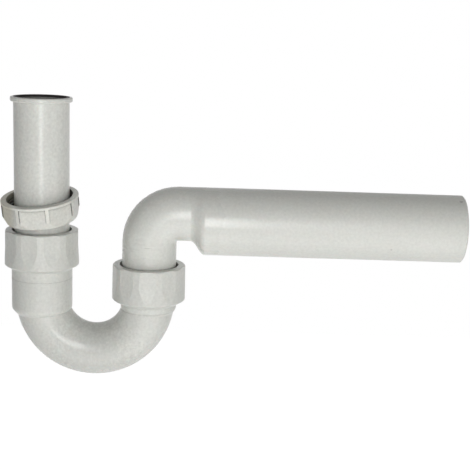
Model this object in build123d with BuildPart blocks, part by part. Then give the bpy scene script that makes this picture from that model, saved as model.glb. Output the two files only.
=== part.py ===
from build123d import *
import os
from math import cos, radians, sin, tan

os.makedirs("parts", exist_ok=True)

# Sizes are in millimetres. The origin is the centre of the inlet's sealing face, +Z runs up the
# inlet tube's axis and +X points from the inlet leg to the outlet leg.

# Push-fit tubes
TUBE_OD = 40.0
TUBE_WALL = 1.9
TUBE_LENGTH = 147.8
SPIGOT_CHAMFER = 1.0

# Flange at the top of the inlet tube and the washer in its seat
FLANGE_OVERHANG = 2.2
FLANGE_HEIGHT = 3.5
FLANGE_ROUND = 1.1
SEAT_RIM = 1.9
SEAT_DEPTH = 1.6
WASHER_PROUD = 0.1
WASHER_PLAY = 0.15

# Sockets of the U-bend
SOCKET_CLEARANCE = 0.4
INLET_SOCKET_DEPTH = 50.9
OUTLET_SOCKET_DEPTH = 26.7
MOUTH_GAP = 1.4
MOUTH_DRAFT = 0.4
LEG_WALL = 1.8
COLLAR_WALL = 2.5
COLLAR_HEIGHT = 25.9
COLLAR_FLARE = 0.25
COLLAR_TAPER_ANGLE = 31.0
COLLAR_EDGE = 1.4
COLLAR_LOWER_ROUND = 1.0
COLLAR_ROOT_ROUND = 1.2

# Grip flats round the collars, running out towards the foot
GRIP_FLATS = 10
GRIP_DEPTH = 0.6
GRIP_LENGTH = 13.0
GRIP_RUN = 24.5
GRIP_HALF_WIDTH = 8.0
INLET_GRIP_TURN = 7.1
OUTLET_GRIP_TURN = -16.6

# U-bend below the sockets
LEG_SPACING = 79.2
BEND_STEP = 2.9
BEND_WALL = 2.2
OUTLET_RING_STEP = 1.4
INLET_LEG_DROP = 13.4
OUTLET_LEG_DROP = 11.2
SHOULDER_HEIGHT = 5.0
SHOULDER_TUCK = 1.6
SHOULDER_EDGE = 4.0
WITNESS_DROP = 36.2
WITNESS_WIDTH = 0.5
WITNESS_DEPTH = 0.15

# Lip seals in the socket grooves
SEAL_GROOVE_TOP = 3.0
SEAL_GROOVE_HEIGHT = 6.0
SEAL_GROOVE_DEPTH = 4.0
SEAL_CLEARANCE = 0.3
SEAL_END_PLAY = 0.1
SEAL_BAND = 1.6
LIP_THICKNESS = 1.3

# Outlet bend: spigot, elbow, offset reducer and outlet pipe
PIPE_OD = 50.0
OUTLET_WALL = 2.0
OUTLET_RISE = 38.7
ELBOW_THROAT = 1.4
STUB_LENGTH = 9.3
REDUCER_LENGTH = 10.0
REDUCER_SECTIONS = 5
PIPE_LENGTH = 190.4
PIPE_CHAMFER = 0.9

# Union nut, hanging askew on the inlet tube
NUT_HEIGHT = 17.3
NUT_THREAD_CLEARANCE = 1.0
NUT_WALL = 5.1
NUT_TAPER_INSET = 2.7
NUT_TAPER_HEIGHT = 6.4
NUT_MOUTH_DEPTH = 6.5
NUT_MOUTH_FLARE = 1.0
NUT_SHOULDER = 2.5
NUT_CLEARANCE = 0.25
NUT_EDGE = 0.7
NUT_RIBS = 8
NUT_RIB_WIDTH = 2.4
NUT_RIB_HEIGHT = 0.6
NUT_RIM = 1.8
NUT_FLAT_FOOT = 0.9
NUT_TURN = 41.6
NUT_LEAN_FRONT = 9.55
NUT_LEAN_SIDE = -4.6
NUT_GAP = 3.2

# Levels along the inlet axis
flange_top = -WASHER_PROUD
bend_level = flange_top - TUBE_LENGTH
inlet_mouth = bend_level + INLET_SOCKET_DEPTH
outlet_mouth = bend_level + OUTLET_SOCKET_DEPTH
witness_level = inlet_mouth - WITNESS_DROP
outlet_level = outlet_mouth + OUTLET_RISE

# Radii
tube_r = TUBE_OD / 2
tube_bore_r = tube_r - TUBE_WALL
flange_r = tube_r + FLANGE_OVERHANG
seat_r = flange_r - SEAT_RIM
socket_r = tube_r + SOCKET_CLEARANCE
groove_r = socket_r + SEAL_GROOVE_DEPTH
collar_r = groove_r + COLLAR_WALL
leg_r = socket_r + LEG_WALL
bend_r = leg_r - BEND_STEP
outlet_ring_r = bend_r + OUTLET_RING_STEP
bend_bore_r = bend_r - BEND_WALL
pipe_r = PIPE_OD / 2
elbow_radius = tube_r + ELBOW_THROAT

inlet_axis = Axis((0, 0, 0), (0, 0, 1))
outlet_axis = Axis((LEG_SPACING, 0, 0), (0, 0, 1))
outlet_leg = Plane(origin=(LEG_SPACING, 0, 0), x_dir=(1, 0, 0), z_dir=(0, -1, 0))


def half_section(plane, corners, rounds):
    """Closed half-section: x is the radius, y the height, and rounds lists the inner corners' radii."""
    with BuildSketch(plane) as section:
        with BuildLine():
            outline = FilletPolyline(*corners, radius=rounds)
            Line(outline @ 1, outline @ 0)
        make_face()
    return section.sketch


def leg_outline(plane, mouth, plain_r, leg_bottom):
    """Outside of one leg: collar, taper under it, plain leg and the shoulder down to the bend."""
    collar_foot = mouth - COLLAR_HEIGHT
    collar_foot_r = collar_r + COLLAR_FLARE
    taper_foot = collar_foot - (collar_foot_r - plain_r) * tan(radians(COLLAR_TAPER_ANGLE))
    return half_section(
        plane,
        [
            (0, mouth),
            (collar_r, mouth),
            (collar_foot_r, collar_foot),
            (plain_r, taper_foot),
            (plain_r, leg_bottom + SHOULDER_HEIGHT),
            (bend_r - SHOULDER_TUCK, leg_bottom),
            (0, leg_bottom),
        ],
        [COLLAR_EDGE, COLLAR_LOWER_ROUND, COLLAR_ROOT_ROUND, SHOULDER_EDGE, 0],
    )


def grip_cutter(mouth):
    """Wedge that cuts one grip flat into the +X side of a collar on the Z axis."""
    with BuildPart() as cutter:
        with BuildSketch(Plane.XZ):
            with BuildLine():
                Polyline(
                    (collar_r - GRIP_DEPTH, mouth - GRIP_LENGTH),
                    (collar_r - GRIP_DEPTH, mouth),
                    (collar_r + COLLAR_WALL, mouth),
                    (collar_r + COLLAR_WALL, mouth - GRIP_RUN),
                    (collar_r + COLLAR_FLARE, mouth - GRIP_RUN),
                    close=True,
                )
            make_face()
        extrude(amount=GRIP_HALF_WIDTH, both=True)
    return cutter.part


def socket_hollow(plane, mouth):
    """Inside of one socket: open mouth, the groove that holds the lip seal, and the bore."""
    groove_top = mouth - SEAL_GROOVE_TOP
    groove_foot = groove_top - SEAL_GROOVE_HEIGHT
    return half_section(
        plane,
        [
            (0, mouth),
            (socket_r + MOUTH_GAP, mouth),
            (socket_r + MOUTH_GAP - MOUTH_DRAFT, groove_top),
            (groove_r, groove_top),
            (groove_r, groove_foot),
            (socket_r, groove_foot),
            (socket_r, bend_level),
            (0, bend_level),
        ],
        0,
    )


def seal_section(plane, mouth):
    """A lip seal: a band against the groove's wall and a lip that leans down to the tube."""
    top = mouth - SEAL_GROOVE_TOP - SEAL_END_PLAY
    foot = mouth - SEAL_GROOVE_TOP - SEAL_GROOVE_HEIGHT + SEAL_END_PLAY
    band_r = groove_r - SEAL_CLEARANCE
    lip_r = tube_r + SEAL_CLEARANCE
    middle = (top + foot) / 2
    return half_section(
        plane,
        [
            (band_r, foot),
            (band_r, top),
            (band_r - SEAL_BAND, top),
            (lip_r, middle),
            (lip_r, middle - LIP_THICKNESS),
            (band_r - SEAL_BAND, foot + LIP_THICKNESS),
            (band_r - SEAL_BAND, foot),
        ],
        0,
    )


# Inlet tube with its dished flange
with BuildPart() as inlet_tube:
    revolve(
        half_section(
            Plane.XZ,
            [
                (tube_bore_r, bend_level),
                (tube_r - SPIGOT_CHAMFER, bend_level),
                (tube_r, bend_level + 2 * SPIGOT_CHAMFER),
                (tube_r, flange_top - FLANGE_HEIGHT),
                (flange_r, flange_top - FLANGE_HEIGHT),
                (flange_r, flange_top),
                (seat_r, flange_top),
                (seat_r, flange_top - SEAT_DEPTH),
                (tube_bore_r, flange_top - SEAT_DEPTH),
            ],
            [0, 0, 0, FLANGE_ROUND, SEAT_RIM / 2, 0, 0],
        ),
        axis=inlet_axis,
    )
inlet_tube.part.label = "inlet_tube"
export_step(inlet_tube.part, "parts/inlet_tube.step")

# Rubber washer, standing a little proud of the flange
washer_r = seat_r - WASHER_PLAY
with BuildPart() as inlet_washer:
    with BuildSketch(Plane.XY):
        Circle(washer_r)
        Circle(tube_bore_r, mode=Mode.SUBTRACT)
    extrude(amount=-(WASHER_PROUD + SEAT_DEPTH))
inlet_washer.part.label = "inlet_washer"
export_step(inlet_washer.part, "parts/inlet_washer.step")

# U-bend and both sockets, moulded in one piece
bend_axis = Axis((LEG_SPACING / 2, 0, bend_level), (0, -1, 0))
with BuildPart() as trap_bend:
    inlet_bottom = bend_level - INLET_LEG_DROP
    outlet_bottom = bend_level - OUTLET_LEG_DROP
    revolve(leg_outline(Plane.XZ, inlet_mouth, leg_r, inlet_bottom), axis=inlet_axis)
    revolve(leg_outline(outlet_leg, outlet_mouth, outlet_ring_r, outlet_bottom), axis=outlet_axis)
    with PolarLocations(0, GRIP_FLATS, start_angle=INLET_GRIP_TURN):
        add(grip_cutter(inlet_mouth), mode=Mode.SUBTRACT)
    with Locations((LEG_SPACING, 0, 0)):
        with PolarLocations(0, GRIP_FLATS, start_angle=OUTLET_GRIP_TURN):
            add(grip_cutter(outlet_mouth), mode=Mode.SUBTRACT)
    revolve(
        half_section(
            Plane.XZ,
            [
                (leg_r - WITNESS_DEPTH, witness_level),
                (leg_r + WITNESS_DEPTH, witness_level),
                (leg_r + WITNESS_DEPTH, witness_level + WITNESS_WIDTH),
                (leg_r - WITNESS_DEPTH, witness_level + WITNESS_WIDTH),
            ],
            0,
        ),
        axis=inlet_axis,
        mode=Mode.SUBTRACT,
    )
    with BuildSketch(Plane.XY.offset(bend_level)):
        Circle(bend_r)
    revolve(axis=bend_axis, revolution_arc=180)
    revolve(socket_hollow(Plane.XZ, inlet_mouth), axis=inlet_axis, mode=Mode.SUBTRACT)
    revolve(socket_hollow(outlet_leg, outlet_mouth), axis=outlet_axis, mode=Mode.SUBTRACT)
    with BuildSketch(Plane.XY.offset(bend_level)):
        Circle(bend_bore_r)
    revolve(axis=bend_axis, revolution_arc=180, mode=Mode.SUBTRACT)
trap_bend.part.label = "trap_bend"
export_step(trap_bend.part, "parts/trap_bend.step")

with BuildPart() as inlet_seal:
    revolve(seal_section(Plane.XZ, inlet_mouth), axis=inlet_axis)
inlet_seal.part.label = "inlet_seal"
export_step(inlet_seal.part, "parts/inlet_seal.step")

with BuildPart() as outlet_seal:
    revolve(seal_section(outlet_leg, outlet_mouth), axis=outlet_axis)
outlet_seal.part.label = "outlet_seal"
export_step(outlet_seal.part, "parts/outlet_seal.step")

# Outlet bend: one moulding from the spigot to the end of the outlet pipe. The reducer is flush on
# top and drops on its underside, so the pipe's axis lies below the elbow's.
elbow_foot = outlet_level - elbow_radius
elbow_axis = Axis((LEG_SPACING + elbow_radius, 0, elbow_foot), (0, 1, 0))
pipe_drop = pipe_r - tube_r


def run_plane(distance, drop):
    """Plane across the outlet run, this far past the elbow, with its centre lowered by drop."""
    start = LEG_SPACING + elbow_radius
    return Plane(origin=(start + distance, 0, outlet_level - drop), x_dir=(0, 1, 0), z_dir=(1, 0, 0))


with BuildPart() as outlet_bend:
    for inset, mode in ((0, Mode.ADD), (OUTLET_WALL, Mode.SUBTRACT)):
        with BuildSketch(Plane(origin=(LEG_SPACING, 0, bend_level))):
            Circle(tube_r - inset)
        extrude(amount=elbow_foot - bend_level, mode=mode)
        with BuildSketch(Plane(origin=(LEG_SPACING, 0, elbow_foot))):
            Circle(tube_r - inset)
        revolve(axis=elbow_axis, revolution_arc=90, mode=mode)
        with BuildSketch(run_plane(0, 0)):
            Circle(tube_r - inset)
        extrude(amount=STUB_LENGTH, mode=mode)
        for index in range(REDUCER_SECTIONS):
            share = index / (REDUCER_SECTIONS - 1)
            growth = pipe_drop * share**2 * (3 - 2 * share)
            with BuildSketch(run_plane(STUB_LENGTH + REDUCER_LENGTH * share, growth)):
                Circle(tube_r + growth - inset)
        loft(mode=mode)
        with BuildSketch(run_plane(STUB_LENGTH + REDUCER_LENGTH, pipe_drop)):
            Circle(pipe_r - inset)
        extrude(amount=PIPE_LENGTH, mode=mode)
    chamfer(outlet_bend.edges().group_by(Axis.X)[-1].sort_by(SortBy.LENGTH)[-1], PIPE_CHAMFER)
    chamfer(outlet_bend.edges().group_by(Axis.Z)[0].sort_by(SortBy.LENGTH)[-1], SPIGOT_CHAMFER)
outlet_bend.part.label = "outlet_bend"
export_step(outlet_bend.part, "parts/outlet_bend.step")

# Union nut, jammed askew on the tube just above the inlet collar. Heights along its own axis are
# measured from the middle of its shoulder, where the tube's axis passes.
lean_cos = cos(radians(NUT_LEAN_FRONT)) * cos(radians(NUT_LEAN_SIDE))
lean_sin = (1 - lean_cos**2) ** 0.5
thread_r = flange_r + NUT_THREAD_CLEARANCE
nut_r = thread_r + NUT_WALL
nut_foot_r = nut_r - NUT_TAPER_INSET
nut_bore_r = (tube_r + NUT_CLEARANCE + NUT_SHOULDER / 2 * lean_sin) / lean_cos
nut_bottom = -NUT_SHOULDER / 2
nut_top = nut_bottom + NUT_HEIGHT
nut_level = inlet_mouth + NUT_GAP + nut_foot_r * lean_sin - nut_bottom * lean_cos
nut_plane = Plane(Location((0, 0, nut_level), (NUT_LEAN_FRONT, NUT_LEAN_SIDE, 0)))
nut_section = Plane(origin=nut_plane.origin, x_dir=nut_plane.x_dir, z_dir=-nut_plane.y_dir)
panel_width = 2 * nut_r * sin(radians(180 / NUT_RIBS)) - NUT_RIB_WIDTH
flat_r = (nut_r**2 - (panel_width / 2) ** 2) ** 0.5 - NUT_RIB_HEIGHT

with BuildPart() as union_nut:
    revolve(
        half_section(
            nut_section,
            [
                (nut_bore_r, nut_bottom),
                (nut_foot_r, nut_bottom),
                (nut_r, nut_bottom + NUT_TAPER_HEIGHT),
                (nut_r, nut_top),
                (thread_r + NUT_MOUTH_FLARE, nut_top),
                (thread_r, nut_top - NUT_MOUTH_DEPTH),
                (thread_r, nut_bottom + NUT_SHOULDER),
                (nut_bore_r, nut_bottom + NUT_SHOULDER),
            ],
            [NUT_EDGE, NUT_EDGE, NUT_EDGE, 0, 0, 0],
        ),
        axis=Axis(nut_plane.origin, nut_plane.z_dir),
    )
    with BuildSketch(nut_plane.offset(nut_bottom + NUT_FLAT_FOOT)):
        with PolarLocations(flat_r + nut_r / 2, NUT_RIBS, start_angle=NUT_TURN):
            Rectangle(nut_r, panel_width)
    extrude(amount=NUT_HEIGHT - NUT_FLAT_FOOT - NUT_RIM, mode=Mode.SUBTRACT)
union_nut.part.label = "union_nut"
export_step(union_nut.part, "parts/union_nut.step")
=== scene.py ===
from collections import namedtuple
from math import cos, radians, sin, tau

import bpy
from mathutils import Euler, Matrix, Vector


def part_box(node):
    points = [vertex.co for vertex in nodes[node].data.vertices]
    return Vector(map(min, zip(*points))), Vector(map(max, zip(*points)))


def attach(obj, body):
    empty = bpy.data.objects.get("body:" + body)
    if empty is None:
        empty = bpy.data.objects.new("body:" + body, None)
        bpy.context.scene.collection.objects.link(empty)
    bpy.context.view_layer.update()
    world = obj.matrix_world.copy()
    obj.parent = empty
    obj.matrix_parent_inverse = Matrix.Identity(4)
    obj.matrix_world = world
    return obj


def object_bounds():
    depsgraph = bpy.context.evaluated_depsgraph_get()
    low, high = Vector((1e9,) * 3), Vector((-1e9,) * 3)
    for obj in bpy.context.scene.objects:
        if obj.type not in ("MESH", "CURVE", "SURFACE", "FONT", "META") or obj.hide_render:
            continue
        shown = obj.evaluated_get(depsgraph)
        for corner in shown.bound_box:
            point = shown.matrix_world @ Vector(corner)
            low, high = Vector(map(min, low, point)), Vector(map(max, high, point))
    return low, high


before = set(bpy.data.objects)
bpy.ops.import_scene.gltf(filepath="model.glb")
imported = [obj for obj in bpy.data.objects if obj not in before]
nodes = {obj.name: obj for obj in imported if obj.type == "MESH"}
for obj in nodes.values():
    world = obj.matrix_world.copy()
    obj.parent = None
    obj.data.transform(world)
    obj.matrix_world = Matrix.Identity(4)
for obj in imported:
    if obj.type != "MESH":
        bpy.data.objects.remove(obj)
cad_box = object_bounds()

MM = 0.001
WHITE = (1.0, 1.0, 1.0, 1.0)

# Single mark: an ellipsoid in which the surface's tone is multiplied
Mark = namedtuple("Mark", "centre half_sizes tone")
# Tone that changes with the distance from an axis
Ring = namedtuple("Ring", "centre axis start end inner_tone outer_tone")
# Smoother zone: roughness times share up to start, and as moulded from end on
Polish = namedtuple("Polish", "axis start end share")
Lamp = namedtuple("Lamp", "name place width height power gloss")

# View of the photograph: the camera looks at a point inside the trap, from a little above
TARGET = Vector((0.150, 0.0, -0.100))
DISTANCE = 0.774
YAW = radians(-1.8)
PITCH = radians(12.0)
ROLL = radians(2.12)
SENSOR = 36.0
LENS = 79.9
SHIFT_X = -0.0218
SHIFT_Y = 0.0085
CLIP_START = 0.01

# Lamps. The one behind only lightens the back and leaves no highlight.
LAMP_AIM = Vector((0.15, 0.0, -0.10))
LAMPS = (
    Lamp("front_lamp", (0.13, -1.05, 0.02), 0.18, 0.55, 5.0, True),
    Lamp("low_bounce", (0.32, -0.80, -0.82), 1.6, 1.0, 7.4, True),
    Lamp("back_fill", (0.15, 1.10, -0.35), 1.6, 1.0, 10.0, False),
)

# Studio air: its light from -X and from +X
AIR_TINT = (1.0, 0.99, 0.97, 1.0)
AIR_LEFT = 0.02
AIR_RIGHT = 0.38

# Floor far below the hanging trap, so that only soft light comes back from it
FLOOR_DROP = 1.2
FLOOR_SIZE = 8.0
FLOOR_PAPER = (0.85, 0.85, 0.85, 1.0)
FLOOR_GLOW = 0.88

# Loose nut: its slant on the tube and its inside thread
NUT_LEAN = Euler((radians(9.55), radians(-4.6), 0.0))
NUT_GAP = 3.2 * MM
NUT_FOOT_R = 25.6 * MM
NUT_SHOULDER = 2.5 * MM
THREAD_R = 23.2 * MM
THREAD_PITCH = 2.309 * MM
THREAD_DEPTH = 0.8 * MM
THREAD_ROOT = 0.05 * MM
THREAD_TURNS = 3.6
THREAD_STEPS = 96
THREAD_START = 0.8 * THREAD_PITCH
THREAD_WIDTH = 0.9 * THREAD_PITCH
THREAD_FADE_TURNS = 0.25
# Ridge's section: share of the depth inwards, share of the width along the axis
THREAD_PROFILE = ((0.0, -0.5), (0.0, 0.5), (-1.0, 0.12), (-1.0, -0.12))

# Base colours, linear
TUBE_GREY = (0.655, 0.661, 0.623)
BEND_GREY = (0.612, 0.618, 0.582)
NUT_GREY = (0.634, 0.636, 0.590)
NUT_TAN = (0.560, 0.538, 0.448)
RUBBER_BLACK = (0.020, 0.015, 0.015)

# Roughness and the strength of the fine mottling, for each moulding
TUBE_ROUGHNESS, TUBE_MOTTLING = 0.30, 0.18
BEND_ROUGHNESS, BEND_MOTTLING = 0.31, 0.15
OUTLET_ROUGHNESS, OUTLET_MOTTLING = 0.37, 0.11
NUT_ROUGHNESS, NUT_MOTTLING = 0.33, 0.20
SPECULAR = 0.36
SUBSURFACE = 0.06
SUBSURFACE_DEPTH = 1.5 * MM

# Noise of the plastic: scale and detail
CLOUDS = (28.0, 4.0)
MOTTLE = (520.0, 3.0)
GRAIN = (1600.0, 2.0)
STREAKS = (2.0, 3.0)
SPECK_SCALE = 48.0
# Stretch of the flow streaks, across and along their axis
STREAK_ACROSS = 140.0
STREAK_ALONG = 5.0
UPRIGHT = 2
SIDEWAYS = 0

# How far the noise swings the tone and the roughness
CLOUD_SWING = 0.045
STREAK_SWING = 0.02
CLOUD_ROUGH_SWING = 0.05
STREAK_ROUGH_SWING = 0.07
SPECK_EDGE = (0.015, 0.035)
SPECK_TONE = 0.88

# Bumps: height and strength
GRAIN_BUMP = (0.02 * MM, 0.5)
STREAK_BUMP = (0.04 * MM, 0.4)
SEAM_BUMP = (0.08 * MM, 0.8)
SEAM_EDGE = (0.05 * MM, 0.30 * MM)

# Painted shade in narrow corners and fine grooves: how near the next surface is, and how dark it
# gets
OCCLUSION_SAMPLES = 12
CORNER_SHADE_OPENNESS = (0.40, 0.92)
GROOVE_SHADE_OPENNESS = (0.50, 0.95)
CORNER_SHADE_REACH = 2.2 * MM
NUT_CORNER_SHADE_REACH = 6.0 * MM
GROOVE_SHADE_REACH = 0.9 * MM
CORNER_SHADE_TONE = 0.32
TUBE_CORNER_SHADE_TONE = 0.92
NUT_CORNER_SHADE_TONE = 0.14
GROOVE_SHADE_TONE = 0.75
TUBE_GROOVE_SHADE_TONE = 0.90
BEND_GROOVE_SHADE_TONE = 0.93
NUT_GROOVE_SHADE_TONE = 0.42

# Tan tint on the nut's -X side: its edge, and how ragged that is
TINT_EDGE = (-21 * MM, -16 * MM)
TINT_RAGGED = 6 * MM

# Painted highlight on the ribs and rim of the nut: where it starts and ends, and how light it is
RIB_HIGHLIGHT_START = 27.85 * MM
RIB_HIGHLIGHT_END = 28.15 * MM
RIB_HIGHLIGHT_TONE = 1.08

# Painted shade inside the inlet tube, from its bore's wall outwards
BORE_PAINTED_SHADE = Ring((0.0, 0.0, 0.0), (0.0, 0.0, 1.0), 18.2 * MM, 18.8 * MM, 0.42, 1.0)

# The outlet's elbow and reducer, and the foot of the U-bend, are smoother than the rest
OUTLET_POLISH = Polish("X", 0.128, 0.168, 0.72)
BEND_POLISH = Polish("Z", -0.172, -0.155, 0.88)

# Marks in the photograph, and how they fade and fray towards their edges
MARK_FADE = (0.5, 1.0)
MARK_RAGGED = 0.5
PIPE_SCUFF = Mark((0.2556, -0.0216, -0.1001), (0.0010, 0.0012, 0.0016), 0.80)
PIPE_END_SPOT = Mark((0.3060, -0.0110, -0.0650), (0.0017, 0.0017, 0.0013), 0.66)
SPIGOT_SCRATCH = Mark((0.0791, -0.0200, -0.1050), (0.0036, 0.0010, 0.0004), 0.80)
# A small darker spot on the front of the left leg
LEG_DARK_SPOT = Mark((-0.0015, -0.0222, -0.1292), (0.0014, 0.0014, 0.0012), 0.93)
# Painted shade: a darker line along the shoulder's edge under the right collar
RING_PAINTED_SHADE = Mark((0.0792, 0.0, -0.1553), (0.060, 0.060, 0.0007), 0.85)
# Painted light: a lighter band that takes shade out of the witness groove
WITNESS_PAINTED_LIGHT = Mark((0.0, 0.0, -0.1330), (0.060, 0.060, 0.0006), 1.09)
# Painted shade: darker underside of the U-bend
UNDERSIDE_PAINTED_SHADE = Mark((0.0396, -0.015, -0.195), (0.040, 0.050, 0.045), 0.91)

# Rubber: dusty bloom and moulded grain
BLOOM = (120.0, 4.0)
RUBBER_GRAIN = (2600.0, 2.0)
BLOOM_TONE, BLOOM_TONE_SWING = 1.1, 0.5
RUBBER_ROUGHNESS, RUBBER_ROUGH_SWING = 0.72, 0.10
RUBBER_BUMP = (0.03 * MM, 0.6)
RUBBER_SPECULAR = 0.35


class Nodes:
    """Small helper that adds shader nodes to one tree and links them."""

    def __init__(self, tree):
        self.tree = tree
        self.tree.nodes.clear()

    def add(self, kind, inputs=None, **settings):
        node = self.tree.nodes.new(kind)
        for key, value in settings.items():
            setattr(node, key, value)
        for key, value in (inputs or {}).items():
            if isinstance(value, bpy.types.NodeSocket):
                self.tree.links.new(value, node.inputs[key])
            else:
                node.inputs[key].default_value = value
        return node

    def maths(self, operation, first, second=0.0):
        return self.add("ShaderNodeMath", {0: first, 1: second}, operation=operation).outputs[0]

    def product(self, first, *others):
        for other in others:
            first = self.maths("MULTIPLY", first, other)
        return first

    def vector(self, operation, first, second):
        inputs = {0: first, 1: second}
        return self.add("ShaderNodeVectorMath", inputs, operation=operation).outputs[0]

    def length(self, vector):
        node = self.add("ShaderNodeVectorMath", {0: vector}, operation="LENGTH")
        return node.outputs["Value"]

    def coordinate(self, vector, axis):
        return self.add("ShaderNodeSeparateXYZ", {0: vector}).outputs[axis]

    def noise(self, vector, scale, detail):
        inputs = {"Vector": vector, "Scale": scale, "Detail": detail}
        return self.add("ShaderNodeTexNoise", inputs).outputs["Fac"]

    def occlusion(self, reach):
        """Openness of the surface: 1 where nothing lies within reach, less in corners."""
        inputs = {"Distance": reach}
        node = self.add("ShaderNodeAmbientOcclusion", inputs, samples=OCCLUSION_SAMPLES)
        return node.outputs["AO"]

    def window(self, value, start, end, low, high):
        """Value from start to end turned into low to high, held at both ends."""
        inputs = {
            "Value": value, "From Min": start, "From Max": end, "To Min": low, "To Max": high,
        }
        return self.add("ShaderNodeMapRange", inputs).outputs["Result"]

    def swing(self, value, amount, middle=1.0):
        """Value from 0 to 1 turned into a swing of this amount to both sides of the middle."""
        return self.window(value, 0.0, 1.0, middle - amount, middle + amount)

    def shade(self, colour, factor):
        """Colour times a grey factor."""
        inputs = {6: colour, 7: factor, 0: 1.0}
        mix = self.add("ShaderNodeMix", inputs, data_type="RGBA", blend_type="MULTIPLY")
        return mix.outputs[2]

    def blend(self, factor, first, second):
        """Mix of two colours."""
        inputs = {0: factor, 6: first, 7: second}
        return self.add("ShaderNodeMix", inputs, data_type="RGBA").outputs[2]

    def bump(self, height, distance, strength, below=None):
        inputs = {"Height": height, "Distance": distance, "Strength": strength}
        if below is not None:
            inputs["Normal"] = below
        return self.add("ShaderNodeBump", inputs).outputs["Normal"]


def new_material(name):
    material = bpy.data.materials.new(name)
    material.use_nodes = True
    return material, Nodes(material.node_tree)


def ring_tone(net, place, ring):
    """Tone that runs from the ring's inner to its outer one with the distance from its axis."""
    arm = net.vector("SUBTRACT", place, ring.centre)
    radius = net.length(net.vector("CROSS_PRODUCT", arm, ring.axis))
    return net.window(radius, ring.start, ring.end, ring.inner_tone, ring.outer_tone)


def mark_tone(net, place, mark, fray):
    """Tone of one mark, 1 outside it; fray is the noise that roughens its edge."""
    offset = net.vector("SUBTRACT", place, mark.centre)
    depth = net.length(net.vector("DIVIDE", offset, mark.half_sizes))
    depth = net.maths("ADD", depth, net.swing(fray, MARK_RAGGED, 0.0))
    return net.window(depth, *MARK_FADE, mark.tone, 1.0)


def moulded_plastic(name, colour, roughness, mottling, streak_axis, seam=False, side_tint=None,
                    marks=(), rings=(), polish=None, reach=CORNER_SHADE_REACH,
                    corner_shade_tone=CORNER_SHADE_TONE, groove_shade_tone=GROOVE_SHADE_TONE):
    """Satin polypropylene: clouding, fine grain, flow streaks along one axis, and painted shade in
    corners.

    seam adds the witness line of the mould's halves, and the side tint is a second colour on the -X
    side.
    marks, rings and polish are local changes, among them painted shade and painted highlight. reach
    and the corner tone set the painted shade in corners, and the groove tone the one in fine
    grooves.
    """
    material, net = new_material(name)
    place = net.add("ShaderNodeTexCoord").outputs["Object"]
    stretch = [STREAK_ACROSS] * 3
    stretch[streak_axis] = STREAK_ALONG
    streak_place = net.add("ShaderNodeMapping", {"Vector": place, "Scale": stretch}).outputs[0]
    clouds = net.noise(place, *CLOUDS)
    mottle = net.noise(place, *MOTTLE)
    grain = net.noise(place, *GRAIN)
    streaks = net.noise(streak_place, *STREAKS)
    speck_inputs = {"Vector": place, "Scale": SPECK_SCALE}
    specks = net.add("ShaderNodeTexVoronoi", speck_inputs).outputs["Distance"]
    tone = net.product(
        net.swing(clouds, CLOUD_SWING),
        net.swing(streaks, STREAK_SWING),
        net.swing(mottle, mottling),
        net.window(specks, *SPECK_EDGE, SPECK_TONE, 1.0),
        # Painted shade: darker in corners and fine grooves, where other surfaces lie near
        net.window(net.occlusion(reach), *CORNER_SHADE_OPENNESS, corner_shade_tone, 1.0),
        net.window(net.occlusion(GROOVE_SHADE_REACH), *GROOVE_SHADE_OPENNESS, groove_shade_tone, 1.0),
        *(ring_tone(net, place, ring) for ring in rings),
        *(mark_tone(net, place, mark, mottle) for mark in marks),
    )
    rough = net.product(
        net.swing(clouds, CLOUD_ROUGH_SWING, roughness),
        net.swing(streaks, STREAK_ROUGH_SWING),
    )
    if polish:
        along = net.coordinate(place, polish.axis)
        zone = net.window(along, polish.start, polish.end, polish.share, 1.0)
        rough = net.product(rough, zone)
    normal = net.bump(grain, *GRAIN_BUMP)
    normal = net.bump(streaks, *STREAK_BUMP, normal)
    if seam:
        across = net.maths("ABSOLUTE", net.coordinate(place, "Y"))
        normal = net.bump(net.window(across, *SEAM_EDGE, 1.0, 0.0), *SEAM_BUMP, normal)
    base = (*colour, 1.0)
    if side_tint:
        ragged = net.swing(clouds, TINT_RAGGED, 0.0)
        side = net.maths("ADD", net.coordinate(place, "X"), ragged)
        base = net.blend(net.window(side, *TINT_EDGE, 1.0, 0.0), base, (*side_tint, 1.0))
    shader = net.add(
        "ShaderNodeBsdfPrincipled",
        {
            "Base Color": net.shade(base, tone),
            "Roughness": rough,
            "Normal": normal,
            "Specular IOR Level": SPECULAR,
            "Subsurface Weight": SUBSURFACE,
            "Subsurface Scale": SUBSURFACE_DEPTH,
        },
    )
    net.add("ShaderNodeOutputMaterial", {"Surface": shader.outputs[0]})
    return material


def rubber(name, colour):
    """Dull black rubber with a dusty bloom and a fine moulded grain."""
    material, net = new_material(name)
    place = net.add("ShaderNodeTexCoord").outputs["Object"]
    bloom = net.noise(place, *BLOOM)
    grain = net.noise(place, *RUBBER_GRAIN)
    shader = net.add(
        "ShaderNodeBsdfPrincipled",
        {
            "Base Color": net.shade((*colour, 1.0), net.swing(bloom, BLOOM_TONE_SWING, BLOOM_TONE)),
            "Roughness": net.swing(bloom, RUBBER_ROUGH_SWING, RUBBER_ROUGHNESS),
            "Normal": net.bump(grain, *RUBBER_BUMP),
            "Specular IOR Level": RUBBER_SPECULAR,
        },
    )
    net.add("ShaderNodeOutputMaterial", {"Surface": shader.outputs[0]})
    return material


def dress(node, material):
    """Puts one material on every slot of a CAD node."""
    mesh = nodes[node].data
    mesh.materials.clear()
    mesh.materials.append(material)
    mesh.polygons.foreach_set("material_index", [0] * len(mesh.polygons))


def nut_matrix():
    """Placement of the slanted nut: its own Z axis, from the middle of its shoulder."""
    turn = NUT_LEAN.to_matrix()
    axis = turn @ Vector((0, 0, 1))
    slant = (1 - axis.z**2) ** 0.5
    collar_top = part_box("trap_bend")[1].z
    level = collar_top + NUT_GAP + NUT_FOOT_R * slant + NUT_SHOULDER / 2 * axis.z
    return Matrix.Translation((0, 0, level)) @ turn.to_4x4()


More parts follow.
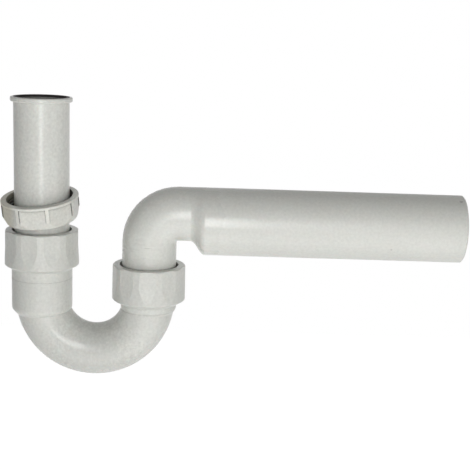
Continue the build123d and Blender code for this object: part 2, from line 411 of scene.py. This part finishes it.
def nut_thread(material, placement):
    """Inside thread of the nut: one helical ridge that fades out at both ends."""
    start = NUT_SHOULDER / 2 + THREAD_START
    count = int(THREAD_TURNS * THREAD_STEPS)
    points = []
    for step in range(count + 1):
        turns = step / THREAD_STEPS
        angle = turns * tau
        fade = min(1.0, turns / THREAD_FADE_TURNS, (THREAD_TURNS - turns) / THREAD_FADE_TURNS)
        for inward, along in THREAD_PROFILE:
            radius = THREAD_R + THREAD_ROOT + inward * (THREAD_DEPTH * fade + THREAD_ROOT)
            height = start + turns * THREAD_PITCH + along * THREAD_WIDTH
            points.append((radius * cos(angle), radius * sin(angle), height))
    sides = len(THREAD_PROFILE)
    faces = []
    for step in range(count):
        for side in range(sides):
            here = step * sides + side
            beside = step * sides + (side + 1) % sides
            faces.append((here + sides, beside + sides, beside, here))
    faces.append(tuple(reversed(range(sides))))
    faces.append(tuple(count * sides + side for side in range(sides)))
    mesh = bpy.data.meshes.new("nut_thread")
    mesh.from_pydata(points, [], faces)
    mesh.materials.append(material)
    mesh.update()
    thread = bpy.data.objects.new("nut_thread", mesh)
    thread.matrix_world = placement
    bpy.context.scene.collection.objects.link(thread)
    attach(thread, "nut")


def add_camera():
    back = Vector((sin(YAW) * cos(PITCH), -cos(YAW) * cos(PITCH), sin(PITCH)))
    level_right = (-back).cross(Vector((0, 0, 1))).normalized()
    level_up = level_right.cross(-back)
    right = level_right * cos(ROLL) + level_up * sin(ROLL)
    up = level_up * cos(ROLL) - level_right * sin(ROLL)
    data = bpy.data.cameras.new("camera")
    data.sensor_width = SENSOR
    data.lens = LENS
    data.shift_x = SHIFT_X
    data.shift_y = SHIFT_Y
    data.clip_start = CLIP_START
    camera = bpy.data.objects.new("camera", data)
    turn = Matrix((right, up, back)).transposed().to_4x4()
    camera.matrix_world = Matrix.Translation(TARGET + back * DISTANCE) @ turn
    bpy.context.scene.collection.objects.link(camera)
    bpy.context.scene.camera = camera


def add_lamp(lamp):
    data = bpy.data.lights.new(lamp.name, "AREA")
    data.shape = "RECTANGLE"
    data.size = lamp.width
    data.size_y = lamp.height
    data.energy = lamp.power
    light = bpy.data.objects.new(lamp.name, data)
    light.location = lamp.place
    light.rotation_euler = (LAMP_AIM - Vector(lamp.place)).to_track_quat("-Z", "Y").to_euler()
    light.visible_camera = False
    light.visible_glossy = lamp.gloss
    bpy.context.scene.collection.objects.link(light)


def seen_directly(net):
    """1 for rays that show the background itself: camera, glossy and transmission rays."""
    path = net.add("ShaderNodeLightPath")
    shown = net.maths("MAXIMUM", path.outputs["Is Camera Ray"], path.outputs["Is Glossy Ray"])
    return net.maths("MAXIMUM", shown, path.outputs["Is Transmission Ray"])


def add_world():
    """Grey studio air, brighter from the right, and white where it is seen."""
    world = bpy.data.worlds.new("studio")
    world.use_nodes = True
    bpy.context.scene.world = world
    net = Nodes(world.node_tree)
    direction = net.add("ShaderNodeTexCoord").outputs["Generated"]
    level = net.window(net.coordinate(direction, "X"), -1.0, 1.0, AIR_LEFT, AIR_RIGHT)
    light = net.add("ShaderNodeBackground", {"Color": AIR_TINT, "Strength": level})
    white = net.add("ShaderNodeBackground", {"Color": WHITE, "Strength": 1.0})
    both = net.add(
        "ShaderNodeMixShader",
        {0: seen_directly(net), 1: light.outputs[0], 2: white.outputs[0]},
    )
    net.add("ShaderNodeOutputWorld", {"Surface": both.outputs[0]})


def add_floor():
    """Pale floor: lit like paper, with enough white of its own to meet the background."""
    low = cad_box[0][2] - FLOOR_DROP
    half = FLOOR_SIZE / 2
    mesh = bpy.data.meshes.new("floor")
    corners = [(-half, -half, low), (half, -half, low), (half, half, low), (-half, half, low)]
    mesh.from_pydata(corners, [], [(0, 1, 2, 3)])
    material, net = new_material("floor_paper")
    paper = net.add("ShaderNodeBsdfDiffuse", {"Color": FLOOR_PAPER})
    lift = net.product(seen_directly(net), FLOOR_GLOW)
    glow = net.add("ShaderNodeEmission", {"Color": WHITE, "Strength": lift})
    both = net.add("ShaderNodeAddShader", {0: paper.outputs[0], 1: glow.outputs[0]})
    net.add("ShaderNodeOutputMaterial", {"Surface": both.outputs[0]})
    mesh.materials.append(material)
    floor = bpy.data.objects.new("floor", mesh)
    bpy.context.scene.collection.objects.link(floor)


tube_plastic = moulded_plastic(
    "tube_plastic", TUBE_GREY, TUBE_ROUGHNESS, TUBE_MOTTLING, UPRIGHT,
    rings=[BORE_PAINTED_SHADE], corner_shade_tone=TUBE_CORNER_SHADE_TONE, groove_shade_tone=TUBE_GROOVE_SHADE_TONE,
)
bend_plastic = moulded_plastic(
    "bend_plastic", BEND_GREY, BEND_ROUGHNESS, BEND_MOTTLING, UPRIGHT, seam=True,
    marks=[LEG_DARK_SPOT, RING_PAINTED_SHADE, WITNESS_PAINTED_LIGHT, UNDERSIDE_PAINTED_SHADE], polish=BEND_POLISH,
    groove_shade_tone=BEND_GROOVE_SHADE_TONE,
)
outlet_plastic = moulded_plastic(
    "outlet_plastic", TUBE_GREY, OUTLET_ROUGHNESS, OUTLET_MOTTLING, SIDEWAYS, seam=True,
    marks=[PIPE_SCUFF, PIPE_END_SPOT, SPIGOT_SCRATCH], polish=OUTLET_POLISH,
)
nut_place = nut_matrix()
nut_axis = nut_place.col[2].to_3d()
# Painted highlight: lighter on the outermost rib tops and rim of the nut
nut_rib_highlight = Ring(nut_place.translation, nut_axis, RIB_HIGHLIGHT_START, RIB_HIGHLIGHT_END, 1.0, RIB_HIGHLIGHT_TONE)
nut_plastic = moulded_plastic(
    "nut_plastic", NUT_GREY, NUT_ROUGHNESS, NUT_MOTTLING, UPRIGHT, side_tint=NUT_TAN,
    rings=[nut_rib_highlight], reach=NUT_CORNER_SHADE_REACH, corner_shade_tone=NUT_CORNER_SHADE_TONE, groove_shade_tone=NUT_GROOVE_SHADE_TONE,
)
black_rubber = rubber("black_rubber", RUBBER_BLACK)

dress("inlet_tube", tube_plastic)
dress("trap_bend", bend_plastic)
dress("outlet_bend", outlet_plastic)
dress("union_nut", nut_plastic)
for ring_node in ("inlet_washer", "inlet_seal", "outlet_seal"):
    dress(ring_node, black_rubber)
nut_thread(nut_plastic, nut_place)

add_camera()
add_world()
add_floor()
for lamp in LAMPS:
    add_lamp(lamp)
bpy.context.scene.view_settings.view_transform = "Standard"
